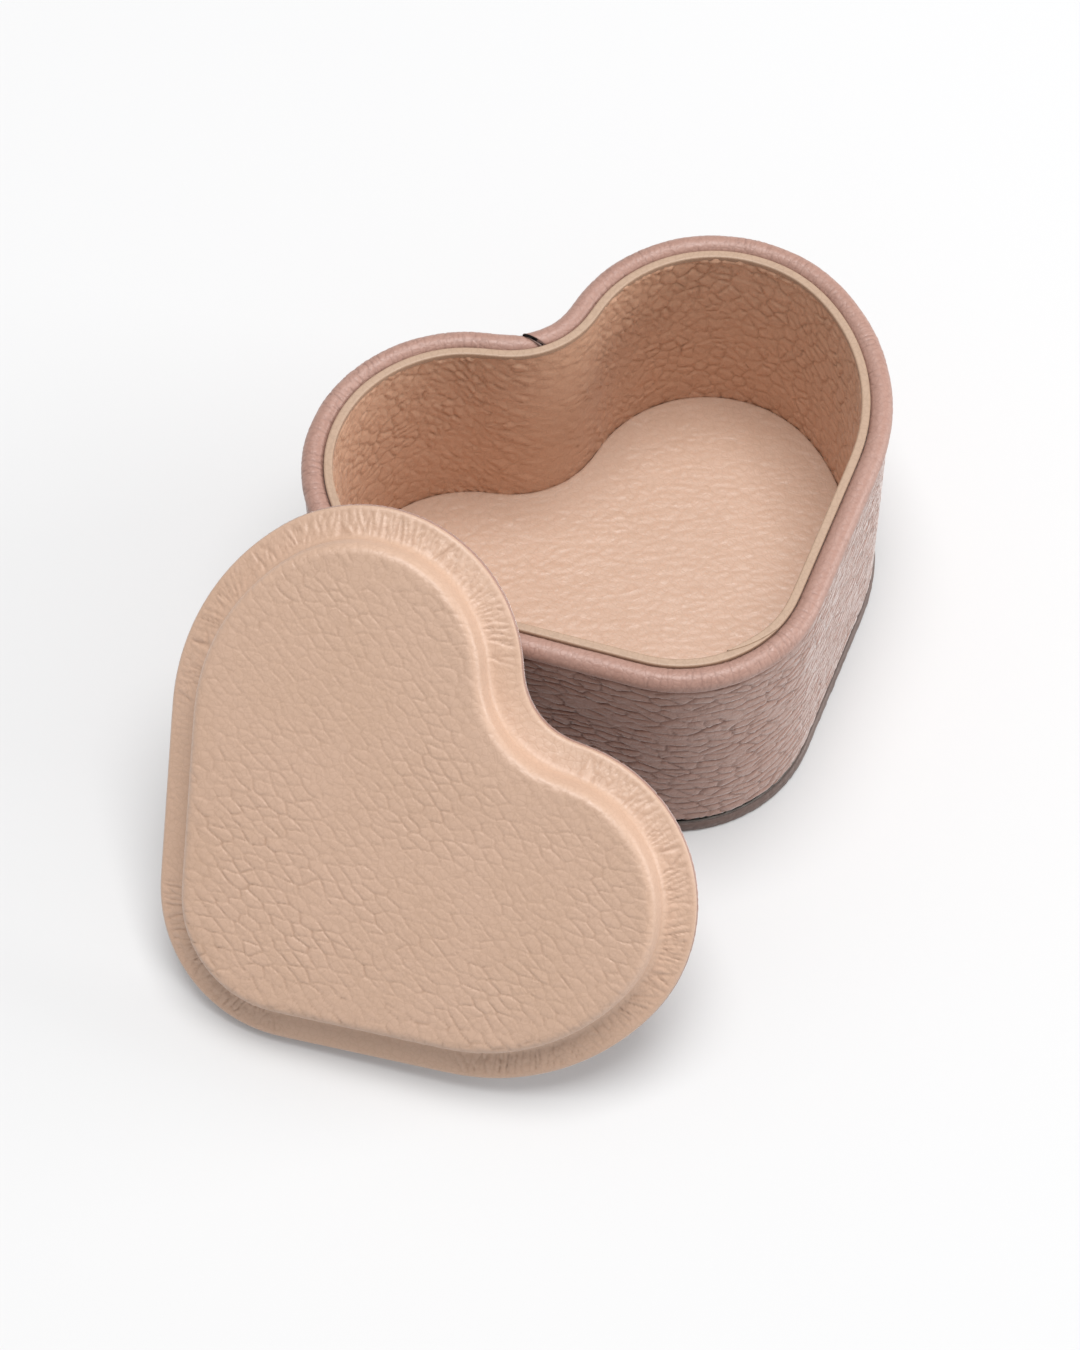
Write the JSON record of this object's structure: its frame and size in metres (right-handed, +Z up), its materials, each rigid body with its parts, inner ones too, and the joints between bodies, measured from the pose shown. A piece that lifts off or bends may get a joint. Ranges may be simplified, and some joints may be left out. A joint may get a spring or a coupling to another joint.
{
  "type": "heart-shaped leather keepsake box",
  "caption": "Heart-shaped leather-covered box with a rolled rim, a lined inside and a loose padded lid that leans on it.",
  "frame": {"origin": "on the underside of the base plate, midway between the two hip arcs of the heart", "axes": "+Z up out of the box, +Y from the heart's tip to its cleft, +X to the right lobe"},
  "size_m": [0.1603, 0.1294, 0.0698],
  "materials": {
    "outer_leather": "dusty rose pebbled leather, satin",
    "rim_leather": "dusty rose leather rolled over an edge, satin",
    "lining_leather": "nude pebbled leather, satin",
    "board": "grey binder's board, hidden",
    "padding": "soft wadding, hidden"
  },
  "bodies": {
    "box": {"wall_leather": "outer_leather", "wall_board": "board", "rim_leather": "rim_leather", "rim_filler": "board", "lining_leather": "lining_leather", "lining_card": "board", "floor_leather": "lining_leather", "floor_padding": "padding", "floor_board": "board", "base_leather": "outer_leather", "base_board": "board", "base_spacer": "board"},
    "lid": {"lid_top_leather": "outer_leather", "lid_padding": "padding", "lid_board": "board", "plug_board": "board", "plug_padding": "padding", "lid_lining_leather": "lining_leather"}
  },
  "joints": [
    {"name": "lid_lift", "type": "slide", "parent": "box", "child": "lid", "axis": [0, 0, 1], "range_m": [0, 0.06]}
  ]
}
